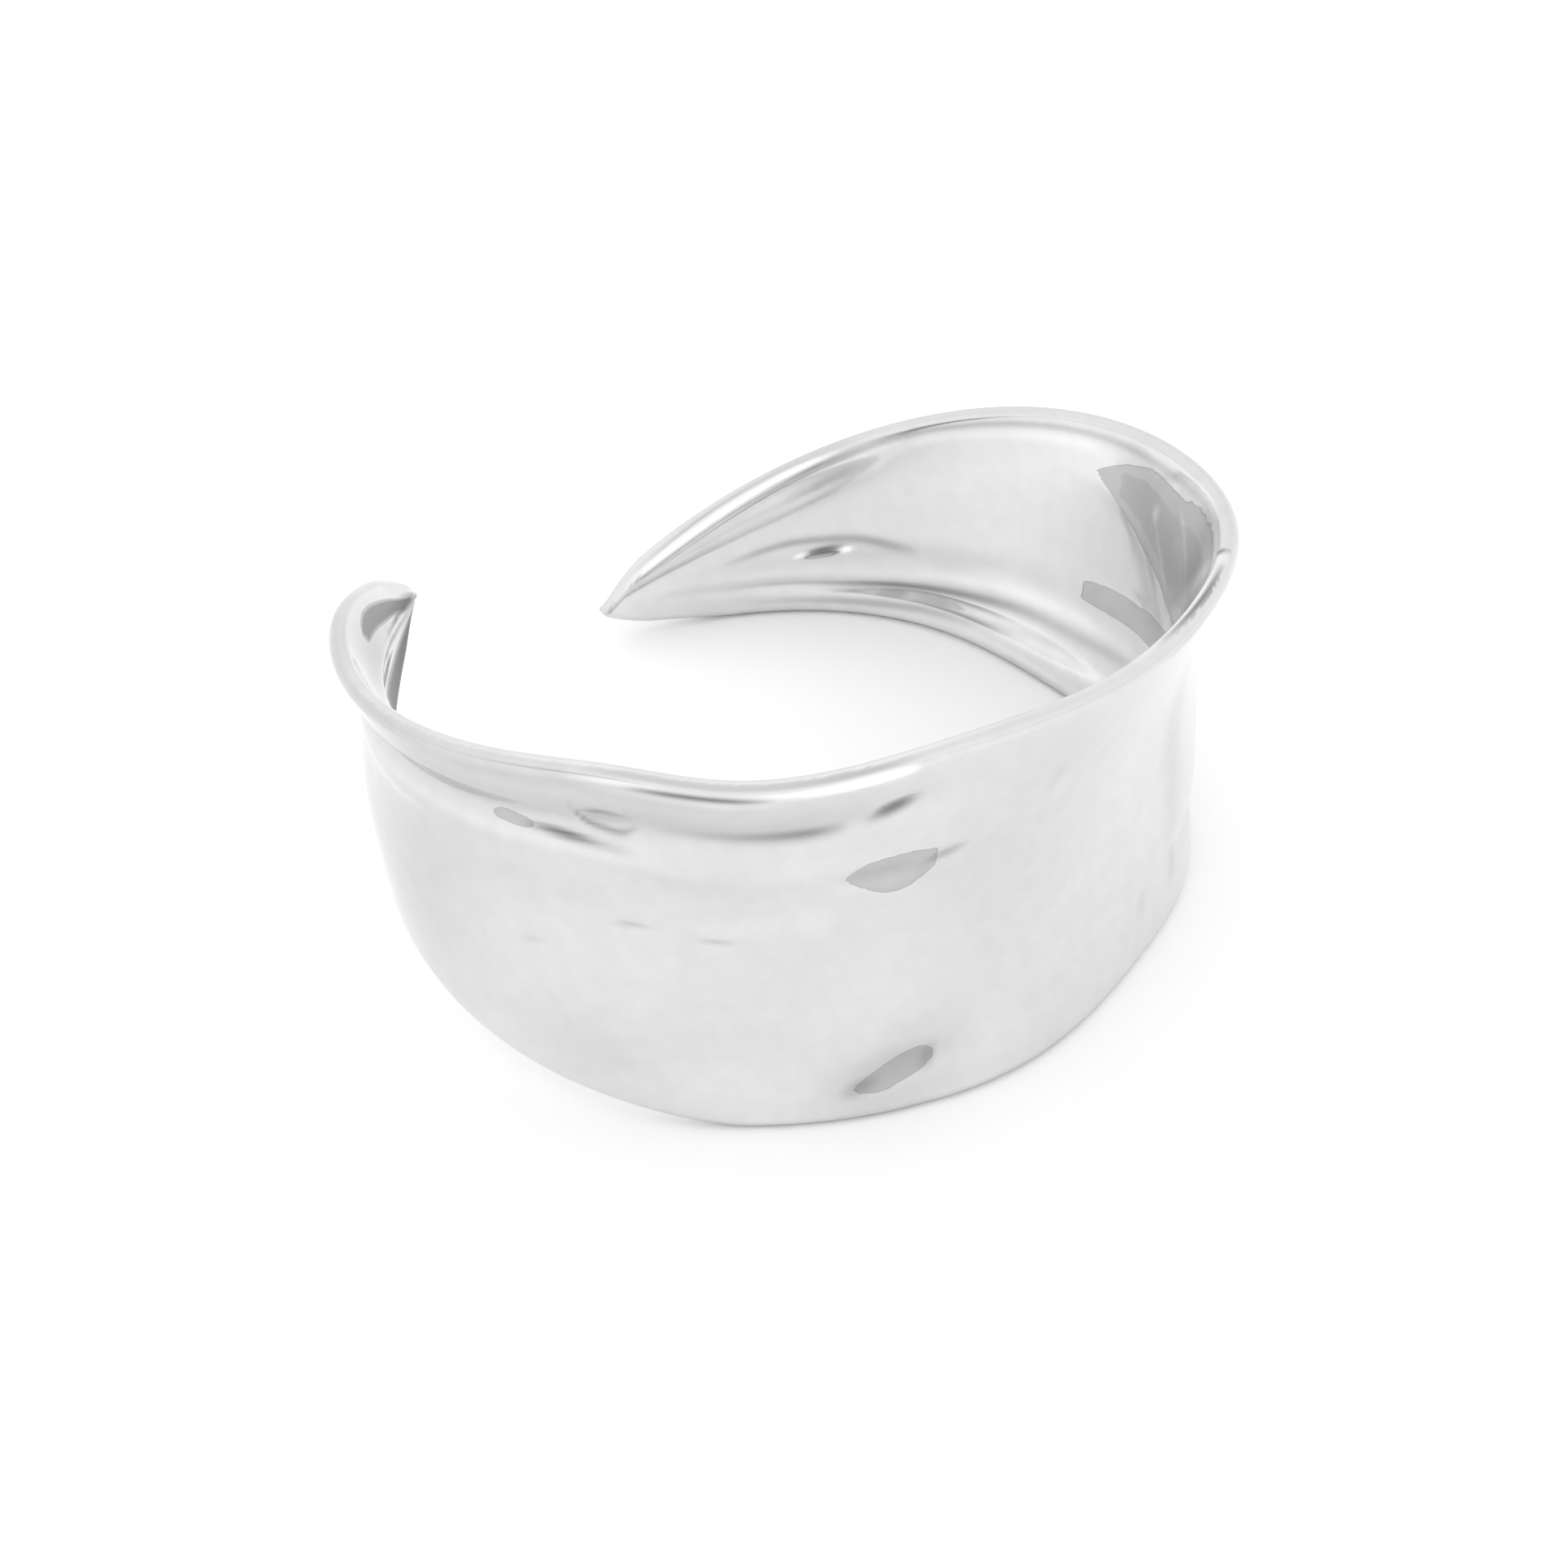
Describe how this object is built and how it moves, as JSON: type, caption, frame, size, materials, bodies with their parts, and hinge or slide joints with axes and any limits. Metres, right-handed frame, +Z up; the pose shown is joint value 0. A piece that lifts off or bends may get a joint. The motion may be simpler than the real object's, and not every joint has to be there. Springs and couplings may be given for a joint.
{
  "type": "cuff bracelet",
  "caption": "Open cuff bracelet of polished silver: a leaf-shaped band bent into an oval, with a rolled rim and soft folds.",
  "frame": {"origin": "middle of the underside of the bounding box, on the surface that the lower edge rests on", "axes": "+X along the long axis of the oval, towards the low right tip; +Y through the opening; +Z up, along the wrist"},
  "size_m": [0.0642, 0.0554, 0.0298],
  "materials": {
    "polished_silver": "polished"
  },
  "bodies": {
    "root": {"cuff_band": "polished_silver"}
  },
  "joints": []
}
